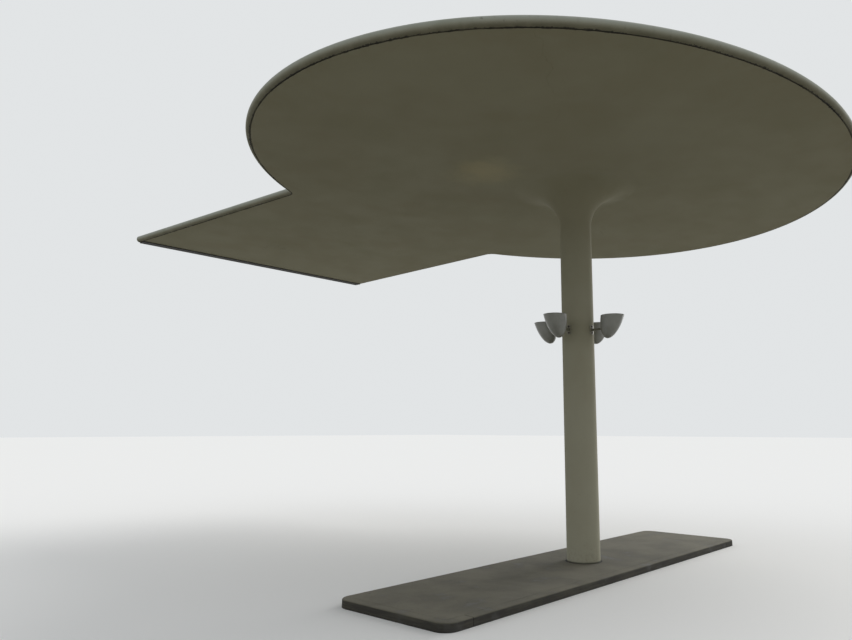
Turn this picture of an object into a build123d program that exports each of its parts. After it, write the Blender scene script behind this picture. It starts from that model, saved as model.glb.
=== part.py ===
from build123d import *
import math
import os

os.makedirs("parts", exist_ok=True)

# A filling station canopy: an oval concrete roof on one round column, with a flat neck that runs
# out from it to a seat, four bowl lamps round the column and a kerbed island at its foot.
# Millimetres. +Z is up and the island stands at 0. The origin is the middle of the column's foot.
# +Y runs along the neck to its seat, and +X across it, the way the oval is longest.

# Driving sizes of the roof
soffit_height = 4300
roof_half_length = 3744
roof_half_width = 3047
roof_shift_x = -150
roof_shift_y = 57
slab_thickness = 94
corner_radius = 150

# The neck between the oval and its seat
neck_shift_x = -245
neck_half_root = 1935
neck_half_seat = 2112
seat_distance = 6217
bearing_width = 140
bearing_strip_thickness = 12

# Rounded edge of the roof, and the drip groove where it meets the soffit
nose_reach = 47
nose_flat = 4
drip_width = 6
drip_depth = 10

# Roof covering and its edge strip
felt_inset = 70
felt_thickness = 8
strip_inset = 22
strip_height = 14

# Rainwater outlet over the column
outlet_pipe_radius = 50
outlet_wall = 6
outlet_flange_radius = 140
outlet_depth = 64
grate_radius = 64
grate_height = 70
grate_wall = 5
grate_slots = 12
grate_slot_width = 9
grate_edge_radius = 8
felt_margin = 6

# Column
column_radius = 183
flare_height = 450
flare_reach = 540
flare_lip = 8

# Island
island_length = 5520
island_width = 1300
island_shift_x = -110
island_height = 72
island_corner = 130
kerb_width = 100
kerb_end_run = 300
kerb_joint = 4
kerb_edge_radius = 12
seal_width = 20
seal_step = 3

# Bowl lamps, whose heights are taken from that of their arms
arm_height = 2605
lamp_tilt = 18.6
lamp_apex_reach = 374
bowl_drop = 110
rim_rise = 143
bowl_radius = 128.5
bowl_length = 320
bowl_wall = 3
glass_thickness = 5
glass_drop = 3
holder_radius = 17
holder_length = 60
bulb_radius = 32
bulb_length = 110

# Lamp brackets
arm_radius = 12
collar_radius = 20
collar_length = 10
plate_width = 70
plate_height = 104
plate_thickness = 8
plate_corner = 12
bolt_hole_radius = 5
bolt_spacing = 72

# Clearance between fitted pieces
fit = 0.3

slab_top = soffit_height + slab_thickness
neck_end = seat_distance + bearing_width
lamp_apex_height = arm_height - bowl_drop
rim_height = arm_height + rim_rise
quarter_turn = 90


def keep(part, name):
    """Label a finished piece and write it out."""
    part.label = name
    export_step(part, f"parts/{name}.step")


def neck_half_at(y):
    """Half width of the neck, which widens evenly from the oval to its seat."""
    root_y = roof_shift_y + roof_half_width
    share = (y - root_y) / (seat_distance - root_y)
    return neck_half_root + (neck_half_seat - neck_half_root) * share


def roof_plate(grow, height, thickness, run_on=0):
    """A flat plate in the plan of the oval and neck, grown outward by the same amount all round."""
    near = roof_shift_y
    far = neck_end + run_on
    near_half = neck_half_at(near) + grow
    far_half = neck_half_at(far) + grow
    with BuildPart() as plate:
        with BuildSketch(Plane.XY.offset(height)):
            with Locations((roof_shift_x, roof_shift_y)):
                Ellipse(roof_half_length + grow, roof_half_width + grow)
            with BuildLine():
                Polyline(
                    (neck_shift_x - near_half, near),
                    (neck_shift_x + near_half, near),
                    (neck_shift_x + far_half, far),
                    (neck_shift_x - far_half, far),
                    close=True,
                )
            make_face()
        extrude(amount=thickness)
        corners = plate.edges().filter_by(Axis.Z).sort_by(Axis.Y)[-4:-2]
        fillet(corners, corner_radius - grow)
    return plate.part


# Roof slab, oval and neck cast in one, with a seat for the outlet

with BuildPart() as roof_slab:
    add(roof_plate(0, soffit_height, slab_thickness))
    with Locations((0, 0, slab_top)):
        Hole(outlet_pipe_radius + outlet_wall + fit, depth=outlet_depth)
        Hole(outlet_flange_radius + fit, depth=outlet_wall)
keep(roof_slab.part, "roof_slab")

# Rounded edge, open at the neck's end, with the drip groove at its inner foot

past_end = 400
slab_core = roof_plate(fit, soffit_height, slab_thickness, past_end)
drip_core = roof_plate(fit + drip_width, soffit_height, drip_depth, past_end)
with BuildPart() as edge_nosing:
    add(roof_plate(nose_reach, soffit_height, slab_thickness, past_end))
    rims = edge_nosing.faces().filter_by(Axis.Z).edges()
    fillet(rims, (slab_thickness - nose_flat) / 2)
    add(slab_core, mode=Mode.SUBTRACT)
    add(drip_core, mode=Mode.SUBTRACT)
    split(bisect_by=Plane.XZ.offset(-neck_end), keep=Keep.TOP)
keep(edge_nosing.part, "edge_nosing")

# Roof covering with its hole for the outlet

with BuildPart() as roof_felt:
    add(roof_plate(-felt_inset, slab_top, felt_thickness))
    with Locations((0, 0, slab_top + felt_thickness)):
        Hole(grate_radius + felt_margin, depth=felt_thickness)
keep(roof_felt.part, "roof_felt")

# Strip that holds the covering's edge down

felt_core = roof_plate(fit - felt_inset, slab_top, strip_height)
with BuildPart() as edge_strip:
    add(roof_plate(-strip_inset, slab_top, strip_height))
    add(felt_core, mode=Mode.SUBTRACT)
keep(edge_strip.part, "edge_strip")

# Rainwater outlet, a flanged cup let into the slab

with BuildPart() as roof_outlet:
    with BuildSketch(Plane.XY.offset(slab_top - outlet_wall)):
        Circle(outlet_flange_radius)
        Circle(outlet_pipe_radius, mode=Mode.SUBTRACT)
    extrude(amount=outlet_wall)
    with BuildSketch(Plane.XY.offset(slab_top - outlet_depth)):
        Circle(outlet_pipe_radius + outlet_wall)
        Circle(outlet_pipe_radius, mode=Mode.SUBTRACT)
    extrude(amount=outlet_depth)
keep(roof_outlet.part, "roof_outlet")

# Leaf guard, a slotted cap on the outlet's flange

with BuildPart() as outlet_grate:
    with BuildSketch(Plane.XY.offset(slab_top)):
        Circle(grate_radius)
    extrude(amount=grate_height)
    fillet(outlet_grate.faces().sort_by(Axis.Z)[-1].edges(), grate_edge_radius)
    with BuildSketch(Plane.XY.offset(slab_top)):
        Circle(grate_radius - grate_wall)
    extrude(amount=grate_height - grate_wall, mode=Mode.SUBTRACT)
    with BuildSketch(Plane.XY.offset(slab_top + grate_edge_radius)):
        with PolarLocations(grate_radius, grate_slots):
            Rectangle(4 * grate_wall, grate_slot_width)
    extrude(amount=grate_height - 2 * grate_edge_radius, mode=Mode.SUBTRACT)
keep(outlet_grate.part, "outlet_grate")

# Bearing strip under the end of the neck

with BuildPart() as bearing_strip:
    with BuildSketch(Plane.XY.offset(soffit_height - bearing_strip_thickness)):
        with Locations((neck_shift_x, seat_distance + bearing_width / 2)):
            Rectangle(2 * neck_half_seat, bearing_width)
    extrude(amount=bearing_strip_thickness)
keep(bearing_strip.part, "bearing_strip")

# Column

with BuildPart() as column_shaft:
    with BuildSketch():
        Circle(column_radius)
    extrude(amount=soffit_height - flare_height)
keep(column_shaft.part, "column_shaft")

# Flared head, a quarter ellipse that runs out along the soffit to a thin lip

with BuildPart() as column_capital:
    flare_base = soffit_height - flare_height
    lip_turn = math.degrees(math.asin(1 - flare_lip / flare_height))
    with BuildSketch(Plane.XZ):
        with BuildLine():
            flare = EllipticalCenterArc(
                (column_radius + flare_reach, flare_base), flare_reach, flare_height,
                start_angle=180 - lip_turn, arc_size=lip_turn,
            )
            Line(flare @ 0, ((flare @ 0).X, soffit_height))
            Line(((flare @ 0).X, soffit_height), (0, soffit_height))
            Line((0, soffit_height), (0, flare_base))
            Line((0, flare_base), flare @ 1)
        make_face()
    revolve(axis=Axis.Z)
keep(column_capital.part, "column_capital")

# Island kerb: one ring cut into two rounded ends and two straight sides

end_left = island_shift_x - island_length / 2
end_right = island_shift_x + island_length / 2
inner_length = island_length - 2 * kerb_width
inner_width = island_width - 2 * kerb_width
inner_corner = island_corner - kerb_width

with BuildPart() as kerb_ring:
    with BuildSketch():
        with Locations((island_shift_x, 0)):
            RectangleRounded(island_length, island_width, island_corner)
    extrude(amount=island_height)
    fillet(kerb_ring.faces().sort_by(Axis.Z)[-1].edges(), kerb_edge_radius)
    with BuildSketch():
        with Locations((island_shift_x, 0)):
            RectangleRounded(inner_length, inner_width, inner_corner)
    extrude(amount=island_height, mode=Mode.SUBTRACT)

with BuildPart() as kerb_left_end:
    add(kerb_ring.part)
    split(bisect_by=Plane.YZ.offset(end_left + kerb_end_run), keep=Keep.BOTTOM)
keep(kerb_left_end.part, "kerb_left_end")

with BuildPart() as kerb_right_end:
    add(kerb_ring.part)
    split(bisect_by=Plane.YZ.offset(end_right - kerb_end_run), keep=Keep.TOP)
keep(kerb_right_end.part, "kerb_right_end")

with BuildPart() as kerb_sides:
    add(kerb_ring.part)
    split(bisect_by=Plane.YZ.offset(end_left + kerb_end_run + kerb_joint), keep=Keep.TOP)
    split(bisect_by=Plane.YZ.offset(end_right - kerb_end_run - kerb_joint), keep=Keep.BOTTOM)

with BuildPart() as kerb_front:
    add(kerb_sides.part)
    split(bisect_by=Plane.XZ, keep=Keep.TOP)
keep(kerb_front.part, "kerb_front")

with BuildPart() as kerb_back:
    add(kerb_sides.part)
    split(bisect_by=Plane.XZ, keep=Keep.BOTTOM)
keep(kerb_back.part, "kerb_back")

# Island top inside the kerb, with the hole that the column stands in

with BuildPart() as island_top:
    with BuildSketch():
        with Locations((island_shift_x, 0)):
            RectangleRounded(inner_length - 2 * fit, inner_width - 2 * fit, inner_corner - fit)
        Circle(column_radius + seal_width, mode=Mode.SUBTRACT)
    extrude(amount=island_height)
keep(island_top.part, "island_top")

# Soft joint round the column's foot

with BuildPart() as foot_seal:
    with BuildSketch():
        Circle(column_radius + seal_width - fit)
        Circle(column_radius + fit, mode=Mode.SUBTRACT)
    extrude(amount=island_height - seal_step)
keep(foot_seal.part, "foot_seal")


def bowl_solid(shrink, axis_plane):
    """The bowl's egg shape, filled, smaller all round by the given amount."""
    with BuildPart() as egg:
        with BuildSketch(axis_plane):
            with BuildLine():
                side = EllipticalCenterArc(
                    (0, bowl_length), bowl_radius - shrink, bowl_length - shrink,
                    start_angle=3 * quarter_turn, arc_size=quarter_turn,
                )
                Line(side @ 1, (0, bowl_length))
                Line((0, bowl_length), side @ 0)
            make_face()
        revolve(axis=Axis(axis_plane.origin, axis_plane.y_dir))
    return egg.part


def level_band(low, high):
    """A broad level slab between two heights, for cutting the tilted bowls."""
    with BuildPart() as band:
        with BuildSketch(Plane.XY.offset(low)):
            Circle(4 * lamp_apex_reach)
        extrude(amount=high - low)
    return band.part


lamp_turns = {"front": 270, "left": 180, "back": 90, "right": 0}

for side_name, turn in lamp_turns.items():
    out = Vector(1, 0, 0).rotate(Axis.Z, turn)
    upright = Plane(origin=(0, 0, 0), x_dir=out, z_dir=out.cross(Vector(0, 0, 1)))
    apex = out * lamp_apex_reach + Vector(0, 0, lamp_apex_height)
    lean = math.radians(lamp_tilt)
    tilted_x = out * math.cos(lean) - Vector(0, 0, math.sin(lean))
    tilted = Plane(origin=apex, x_dir=tilted_x, z_dir=upright.z_dir)
    rim_plane = Plane.XY.offset(rim_height)
    inside = bowl_solid(bowl_wall, tilted)

    with BuildPart() as bowl:
        add(bowl_solid(0, tilted))
        add(inside, mode=Mode.SUBTRACT)
        split(bisect_by=rim_plane, keep=Keep.BOTTOM)
    keep(bowl.part, f"bowl_{side_name}")

    with BuildPart() as glass:
        add(bowl_solid(bowl_wall + fit, tilted))
        add(
            level_band(rim_height - glass_drop - glass_thickness, rim_height - glass_drop),
            mode=Mode.INTERSECT,
        )
    keep(glass.part, f"glass_{side_name}")

    # Holder on the bowl's floor with the bulb above it, turned about the bowl's axis
    with BuildPart() as lamp:
        with BuildSketch(tilted):
            with BuildLine():
                neck_turn = math.degrees(math.acos(holder_radius / bulb_radius))
                Line((0, 0), (holder_radius, 0))
                bulb = EllipticalCenterArc(
                    (0, holder_length + bulb_length / 2), bulb_radius, bulb_length / 2,
                    start_angle=-neck_turn, arc_size=quarter_turn + neck_turn,
                )
                Line((holder_radius, 0), bulb @ 0)
                Line(bulb @ 1, (0, 0))
            make_face()
        revolve(axis=Axis(tilted.origin, tilted.y_dir))
        add(bowl_solid(bowl_wall + fit, tilted), mode=Mode.INTERSECT)
    keep(lamp.part, f"lamp_{side_name}")

    # Saddle plate bent to the column, with its two bolt holes
    with BuildPart() as plate:
        with BuildSketch(Plane.XY.offset(arm_height - plate_height / 2)):
            Circle(column_radius + plate_thickness)
            Circle(column_radius + fit, mode=Mode.SUBTRACT)
            with Locations(Plane.XY.rotated((0, 0, turn))):
                with Locations((column_radius, 0)):
                    Rectangle(column_radius, plate_width, mode=Mode.INTERSECT)
        extrude(amount=plate_height)
        outward = Plane(origin=(0, 0, arm_height), x_dir=upright.z_dir, z_dir=out)
        short = plate.edges().filter_by(lambda e: e.length < 2 * plate_thickness)
        ends = short.filter_by(lambda e: abs((e % 0.5).dot(out)) > 0.9)
        fillet(ends, plate_corner)
        with Locations(outward.offset(column_radius + plate_thickness)):
            with GridLocations(1, bolt_spacing, 1, 2):
                Hole(bolt_hole_radius, depth=3 * plate_thickness)
    keep(plate.part, f"plate_{side_name}")

    # Arm with its root collar, cut to fit the plate and the bowl
    with BuildPart() as arm:
        with BuildSketch(outward.offset(column_radius)):
            Circle(collar_radius)
        extrude(amount=plate_thickness + collar_length)
        with BuildSketch(outward.offset(column_radius)):
            Circle(arm_radius)
        extrude(amount=lamp_apex_reach - column_radius)
        with BuildSketch(Plane.XY.offset(arm_height - plate_height)):
            Circle(column_radius + plate_thickness)
        extrude(amount=2 * plate_height, mode=Mode.SUBTRACT)
        add(bowl_solid(-fit, tilted), mode=Mode.SUBTRACT)
    keep(arm.part, f"arm_{side_name}")
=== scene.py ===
# %% [markdown]
# # A filling station canopy
# An oval concrete roof stands on one round column whose head flares into the soffit, and a flat
# neck runs out from it to one side. Four bowl lamps on short arms light the soffit from below, and
# a kerbed island protects the column's foot. The solids come ready made, in metres, with +Z up, the
# origin under the column and +Y along the neck. This lesson dresses them one finish and one piece
# at a time: first the finishes, then what shows from below, then the roof's top.

# %% Load the solids and keep their box
import math

import bmesh
import bpy
from mathutils import Matrix, Vector


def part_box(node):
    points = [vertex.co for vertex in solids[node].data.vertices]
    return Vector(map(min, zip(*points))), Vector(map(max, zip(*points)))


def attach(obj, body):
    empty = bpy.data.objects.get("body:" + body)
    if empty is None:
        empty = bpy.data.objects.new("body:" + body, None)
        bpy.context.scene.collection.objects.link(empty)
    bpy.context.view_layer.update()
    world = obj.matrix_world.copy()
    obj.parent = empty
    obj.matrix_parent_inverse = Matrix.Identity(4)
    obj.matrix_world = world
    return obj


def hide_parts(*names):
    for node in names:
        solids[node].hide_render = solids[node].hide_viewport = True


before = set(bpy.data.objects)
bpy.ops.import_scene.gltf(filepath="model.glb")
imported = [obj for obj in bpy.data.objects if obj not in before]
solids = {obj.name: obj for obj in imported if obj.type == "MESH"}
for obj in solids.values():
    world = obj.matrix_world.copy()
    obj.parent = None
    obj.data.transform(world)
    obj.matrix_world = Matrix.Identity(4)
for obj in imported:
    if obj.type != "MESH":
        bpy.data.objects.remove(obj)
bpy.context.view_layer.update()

# %% [markdown]
# ## Sizes that several pieces share
# Heights are read off the solids, so a piece can't drift from what it sits on. The plan of the roof
# is an oval with a neck that widens a little towards its end. Its numbers give the path that the
# rounded edge follows, the place of the dirt along that edge and the length of each lap on top.

# %% Sizes, in metres
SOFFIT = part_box("roof_slab")[0].z
SLAB_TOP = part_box("roof_slab")[1].z
ISLAND_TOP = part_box("island_top")[1].z
OVAL_CENTRE = Vector((-0.150, 0.057))
OVAL_HALF = (3.744, 3.047)
NECK_X = -0.245
NECK_HALF_ROOT = 1.935
NECK_HALF_END = 2.112
SEAT_Y = 6.217
NECK_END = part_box("roof_slab")[1].y
CORNER_RADIUS = 0.150
COLUMN_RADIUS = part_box("column_shaft")[1].x
NECK_ROOT_Y = OVAL_CENTRE.y + OVAL_HALF[1]
NECK_SPREAD = (NECK_HALF_END - NECK_HALF_ROOT) / (SEAT_Y - NECK_ROOT_Y)
SIDES = {"front": 270, "left": 180, "back": 90, "right": 0}
print("soffit", round(SOFFIT, 3), "slab top", round(SLAB_TOP, 3), "island", round(ISLAND_TOP, 3))

# %% [markdown]
# ## Writing with nodes
# A finish is a small network of nodes that reads the piece's own coordinates, so the pattern stays
# on the piece from every side. The trees that grow shapes further down are networks too. Adding and
# joining nodes by hand takes several lines each, so one class does it in one line for all of them.
# Colours are given as they look by daylight, and changed to what the nodes expect.


# %% Colours and nodes
def tone(red, green, blue):
    """A colour given as 0 to 255, as the nodes want it."""
    straight = [v / 255 for v in (red, green, blue)]
    return (*(v / 12.92 if v <= 0.04045 else ((v + 0.055) / 1.055) ** 2.4 for v in straight), 1.0)


class Nodes:
    """A node tree under way, with the sums that every tree needs."""

    def __init__(self, tree):
        self.tree = tree
        tree.nodes.clear()

    def add(self, kind, inputs, **settings):
        """A new node's outputs. Each input is linked to a socket, or set to a plain value."""
        node = self.tree.nodes.new(kind)
        for key, value in settings.items():
            setattr(node, key, value)
        for key, value in inputs.items():
            if isinstance(value, bpy.types.NodeSocket):
                self.tree.links.new(value, node.inputs[key])
            else:
                node.inputs[key].default_value = value
        return node.outputs

    def calc(self, operation, first, second=0.0, third=0.0):
        return self.add("ShaderNodeMath", {0: first, 1: second, 2: third}, operation=operation)[0]

    def times(self, first, second):
        return self.calc("MULTIPLY", first, second)

    def ramp(self, value, low, high, start=0.0, end=1.0):
        """A share that goes from start to end while the value goes from low to high."""
        inputs = {"Value": value, "From Min": low, "From Max": high, "To Min": start, "To Max": end}
        return self.add("ShaderNodeMapRange", inputs, interpolation_type="SMOOTHSTEP")[0]


print("a tone of 128 reflects", round(tone(128, 128, 128)[0], 3), "of the light")


# %% [markdown]
# ### The few patterns of a weathered surface
# One helper keeps a finish readable: it names the patterns that weathered surfaces are made of, such
# as patches, cells, streaks and bumps. Sizes are in metres, as the width of one blob or cell. A ramp
# turns a pattern into a share that fades in between two of its values. The finish remembers its
# colour and relief, so each stain is laid over what came before, as weather does it.


# %% A helper that writes a finish
class Finish(Nodes):
    """A material under way, with the colour and the relief that it has so far."""

    def __init__(self, name, colour):
        self.material = bpy.data.materials.new(name)
        self.material.use_nodes = True
        super().__init__(self.material.node_tree)
        self.place = self.add("ShaderNodeTexCoord", {})["Object"]
        self.split = None
        self.colour, self.relief = colour, None

    def axis(self, letter):
        if self.split is None:
            self.split = self.add("ShaderNodeSeparateXYZ", {0: self.place})
        return self.split[letter]

    def up(self):
        """How far the surface faces up, from -1 to 1."""
        normal = self.add("ShaderNodeNewGeometry", {})["Normal"]
        return self.add("ShaderNodeSeparateXYZ", {0: normal})["Z"]

    def attribute(self, name):
        return self.add("ShaderNodeAttribute", {}, attribute_name=name)["Fac"]

    def stretched(self, x, y, z):
        """Coordinates in which one unit is this many metres along each axis."""
        scale = (1 / x, 1 / y, 1 / z)
        return self.add("ShaderNodeMapping", {"Vector": self.place, "Scale": scale})[0]

    def noise(self, size, detail=3.0, rough=0.55, at=None):
        inputs = {"Vector": at or self.place, "Scale": 1 / size, "Detail": detail, "Roughness": rough}
        return self.add("ShaderNodeTexNoise", inputs)["Fac"]

    def cells(self, size, feature="F1", at=None):
        inputs = {"Vector": at or self.place, "Scale": 1 / size}
        return self.add("ShaderNodeTexVoronoi", inputs, feature=feature)["Distance"]

    def mix(self, share, under, over):
        return self.add("ShaderNodeMix", {0: share, 6: under, 7: over}, data_type="RGBA")[2]

    def over(self, share, colour):
        """Lay a colour over the one so far, by a share."""
        self.colour = self.mix(share, self.colour, colour)

    def patches(self, colour, size, low, high, share=1.0, detail=3.0, rough=0.55, at=None):
        """Lay a colour over in patches, where a noise of this size passes from low to high."""
        self.over(self.ramp(self.noise(size, detail, rough, at), low, high, 0.0, share), colour)

    def bump(self, height, depth):
        """Add to the relief so far: a height from 0 to 1, times a depth in metres."""
        inputs = {"Height": height, "Distance": depth, "Strength": 1.0}
        if self.relief is not None:
            inputs["Normal"] = self.relief
        self.relief = self.add("ShaderNodeBump", inputs)[0]

    def done(self, rough, **sockets):
        names = {key.replace("_", " "): value for key, value in sockets.items()}
        names |= {"Base Color": self.colour, "Roughness": rough}
        if self.relief is not None:
            names["Normal"] = self.relief
        self.add("ShaderNodeOutputMaterial", {0: self.add("ShaderNodeBsdfPrincipled", names)[0]})
        return self.material


print("patterns:", ", ".join(name for name in vars(Finish) if not name.startswith("_")))


# %% [markdown]
# ## Painted concrete
# The roof, its edge and the column wear the same old masonry paint, off-white gone olive with
# weather. Close up it has the stipple of a roller over the ripple of the cast face. From afar it is
# cloudy, with hair cracks where the concrete has shrunk. All three finishes share this coat and
# then collect dirt in their own way, so the coat is a function and the dirt is added after it.


# %% The coat that all painted concrete shares
PAINT = tone(164, 161, 141)
PAINT_DULL = tone(159, 155, 134)
PAINT_GREEN = tone(150, 150, 127)
PAINT_BROWN = tone(154, 147, 125)
GRIME = tone(34, 33, 28)
BARE = tone(112, 108, 98)


def hair_cracks(f):
    """Edges of large cells, bent by a noise and kept only in some places."""
    drift = f.add("ShaderNodeTexNoise", {"Vector": f.place, "Scale": 2.2, "Detail": 4.0})["Color"]
    push = f.add("ShaderNodeVectorMath", {0: drift, 1: (0.35, 0.35, 0.35)}, operation="MULTIPLY")[0]
    bent = f.add("ShaderNodeVectorMath", {0: f.place, 1: push}, operation="ADD")[0]
    crack = f.ramp(f.cells(1.4, "DISTANCE_TO_EDGE", bent), 0.0, 0.0035, 1.0, 0.0)
    return f.times(crack, f.ramp(f.noise(1.6, 2.0), 0.55, 0.68, 0.0, 0.15))


def painted_coat(name):
    """A finish that starts as weathered masonry paint, and its roughness."""
    f = Finish(name, PAINT)
    f.patches(PAINT_DULL, 1.1, 0.36, 0.66, detail=4.0)
    f.patches(PAINT_GREEN, 0.9, 0.50, 0.80, 0.35, detail=4.0)
    f.patches(PAINT_BROWN, 0.8, 0.52, 0.82, 0.35, detail=4.0, at=f.stretched(1.6, 0.9, 1.0))
    f.patches(GRIME, 0.018, 0.68, 0.82, 0.12, detail=2.0)
    crack = hair_cracks(f)
    f.over(crack, GRIME)
    f.bump(f.noise(0.006, 3.0, 0.6), 0.0003)
    f.bump(f.noise(0.9, 1.0), 0.0012)
    f.bump(crack, -0.001)
    return f, f.ramp(f.noise(0.3, 3.0), 0.3, 0.7, 0.80, 0.90)


print("paint reflects", round(PAINT[1], 2), "and bare concrete", round(BARE[1], 2))


# %% [markdown]
# ### The soffit
# Water hangs on the drip groove and runs back a finger's width, so black algae and flaking paint
# draw an uneven dark line just inside the rounded edge. To place it the finish has to know how far
# a point is from the edge. For the oval a first-order distance is enough, and for the neck it is the
# width left. The larger of the two, blended over the corner's radius, is the distance for both.


# %% Distance from the edge of the roof, and the soffit's finish
def inside_edge(f):
    """Metres from the slab's edge, positive inward, in nodes."""
    x, y = f.axis("X"), f.axis("Y")
    across = f.calc("DIVIDE", f.calc("SUBTRACT", x, OVAL_CENTRE.x), OVAL_HALF[0])
    along = f.calc("DIVIDE", f.calc("SUBTRACT", y, OVAL_CENTRE.y), OVAL_HALF[1])
    reach = f.calc("SQRT", f.calc("ADD", f.calc("POWER", across, 2.0), f.calc("POWER", along, 2.0)))
    slope_x = f.calc("POWER", f.calc("DIVIDE", across, OVAL_HALF[0]), 2.0)
    slope_y = f.calc("POWER", f.calc("DIVIDE", along, OVAL_HALF[1]), 2.0)
    slope = f.calc("SQRT", f.calc("ADD", slope_x, slope_y))
    oval = f.calc("DIVIDE", f.times(f.calc("SUBTRACT", 1.0, reach), reach), slope)
    half = f.calc("MULTIPLY_ADD", y, NECK_SPREAD, NECK_HALF_ROOT - NECK_SPREAD * NECK_ROOT_Y)
    neck = f.calc("SUBTRACT", half, f.calc("ABSOLUTE", f.calc("SUBTRACT", x, NECK_X)))
    behind = f.ramp(y, OVAL_CENTRE.y, OVAL_CENTRE.y + 0.1, -9.0, 0.0)
    return f.calc("SMOOTH_MAX", oval, f.calc("ADD", neck, behind), CORNER_RADIUS)


def painted_reflection_patch(f):
    """Share of a paler patch beside the column, which is painted reflected sunlight."""
    centre, turn, reach = (-1.22, 0.38, SOFFIT), (0, 0, math.radians(-48)), (0.52, 0.56, 1)
    inputs = {"Vector": f.place, "Location": centre, "Rotation": turn, "Scale": reach}
    own = f.add("ShaderNodeMapping", inputs, vector_type="TEXTURE")[0]
    off = f.add("ShaderNodeVectorMath", {0: own}, operation="LENGTH")["Value"]
    ragged = f.calc("MULTIPLY_ADD", f.noise(0.2, 4.0, 0.6), 0.9, off)
    return f.ramp(ragged, 0.5, 1.45, 0.5, 0.0)


def bare_end(f):
    """The neck was cast against its seat, so its end never had paint."""
    cast = f.mix(f.ramp(f.noise(0.05, 5.0, 0.65), 0.35, 0.65), BARE, tone(86, 83, 75))
    raw = f.mix(f.ramp(f.cells(0.012), 0.15, 0.3, 0.5, 0.0), cast, tone(142, 136, 120))
    f.over(f.ramp(f.axis("Y"), NECK_END - 0.003, NECK_END - 0.001), raw)


def soffit_paint():
    f, rough = painted_coat("painted_soffit")
    distance = inside_edge(f)
    haze = f.times(f.ramp(distance, 0.0, 0.30, 1.0, 0.0), f.ramp(f.noise(0.12, 5.0, 0.65), 0.35, 0.7))
    f.over(f.times(haze, 0.4), PAINT_BROWN)
    # A paler patch beside the column: painted reflected sunlight.
    f.over(painted_reflection_patch(f), tone(202, 192, 156))
    ragged = f.times(f.ramp(f.noise(0.035, 3.0, 0.6), 0.42, 0.74), 0.010)
    width = f.calc("MULTIPLY_ADD", ragged, f.ramp(f.noise(0.7, 2.0), 0.40, 0.62), 0.0026)
    seam = f.ramp(f.calc("SUBTRACT", distance, width), -0.002, 0.004, 1.0, 0.0)
    seam = f.times(seam, f.ramp(f.axis("Z"), SOFFIT + 0.02, SOFFIT + 0.03, 1.0, 0.0))
    held = f.ramp(f.noise(0.45, 3.0, 0.6), 0.36, 0.52, 0.45, 0.95)
    f.over(f.times(seam, held), GRIME)
    worn = f.ramp(f.noise(0.09, 5.0, 0.7), 0.3, 0.6, 0.5, 0.95)
    f.over(f.times(f.ramp(f.up(), 0.3, 0.8), worn), BARE)
    f.bump(seam, -0.002)
    bare_end(f)
    return f.done(rough, Specular_IOR_Level=0.3)


SOFFIT_PAINT = soffit_paint()
print("soffit finish has", len(SOFFIT_PAINT.node_tree.nodes), "nodes")


# %% [markdown]
# ### The rounded edge
# The nose is the same paint. It is paler and greyer towards its top, partly from rain wash and partly
# as painted sky light, and darker where it turns under, which is painted shade. Only a few soft smudges
# break it, with hair-fine soot where dust settles on its crown. The paint has flaked along the lip of
# the drip groove. The sweep that makes the edge will record the length along the edge as `run` and how
# deep it was chipped as `chip`, so the smudges can follow the bend and the chips darken with the seam.


# %% The edge's finish
def along_edge(f, run, height, long, tall):
    """Coordinates that follow the bend: one unit is so many metres along the edge and up it."""
    inputs = {0: f.calc("DIVIDE", run, long), 1: f.calc("DIVIDE", height, tall)}
    return f.add("ShaderNodeCombineXYZ", inputs)[0]


def edge_paint():
    f, rough = painted_coat("painted_edge")
    height, run = f.calc("SUBTRACT", f.axis("Z"), SOFFIT), f.attribute("run")
    # Paler and greyer towards the top: partly rain wash and partly painted sky light.
    f.over(f.ramp(height, 0.0, 0.07, 0.0, 0.85), tone(162, 166, 157))
    f.patches(tone(122, 126, 104), 1.0, 0.48, 0.74, 0.32, 5.0, 0.6, along_edge(f, run, height, 0.45, 0.35))
    f.patches(tone(116, 114, 100), 1.0, 0.55, 0.8, 0.22, 3.0, 0.5, along_edge(f, run, height, 0.07, 0.6))
    f.patches(tone(84, 80, 68), 0.045, 0.64, 0.74, 0.45, 4.0, 0.6)
    settled = f.ramp(f.noise(0.05, 5.0, 0.7), 0.36, 0.66, 0.05, 0.7)
    f.over(f.times(f.ramp(f.up(), 0.88, 1.0), settled), tone(92, 90, 80))
    # Darker low on the nose, where it turns under: painted shade.
    patchy_under_shade = f.ramp(f.noise(0.2, 5.0, 0.65), 0.25, 0.65, 0.6, 1.0)
    f.over(f.times(f.ramp(height, 0.0, 0.05, 0.72, 0.0), patchy_under_shade), tone(90, 88, 72))
    ragged = f.times(f.ramp(f.noise(0.03, 4.0, 0.7), 0.4, 0.75), 0.005)
    width = f.calc("MULTIPLY_ADD", ragged, f.ramp(f.noise(0.7, 2.0), 0.36, 0.6, 0.1, 1.0), 0.0010)
    seam = f.ramp(f.calc("SUBTRACT", height, width), -0.0006, 0.0012, 1.0, 0.0)
    seam = f.calc("MAXIMUM", seam, f.ramp(f.attribute("chip"), 0.3, 0.9, 0.0, 0.8))
    f.over(f.times(seam, 0.93), GRIME)
    bare_end(f)
    return f.done(rough, Specular_IOR_Level=0.4)


EDGE_PAINT = edge_paint()
print("edge finish has", len(EDGE_PAINT.node_tree.nodes), "nodes")


# %% [markdown]
# ### The column
# Under the roof the column stays dry and cleaner, with faint runs down it, a grubby band where feet
# and buckets reach, and scuffs at knee height. Its paint is the same as the soffit's.


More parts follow.
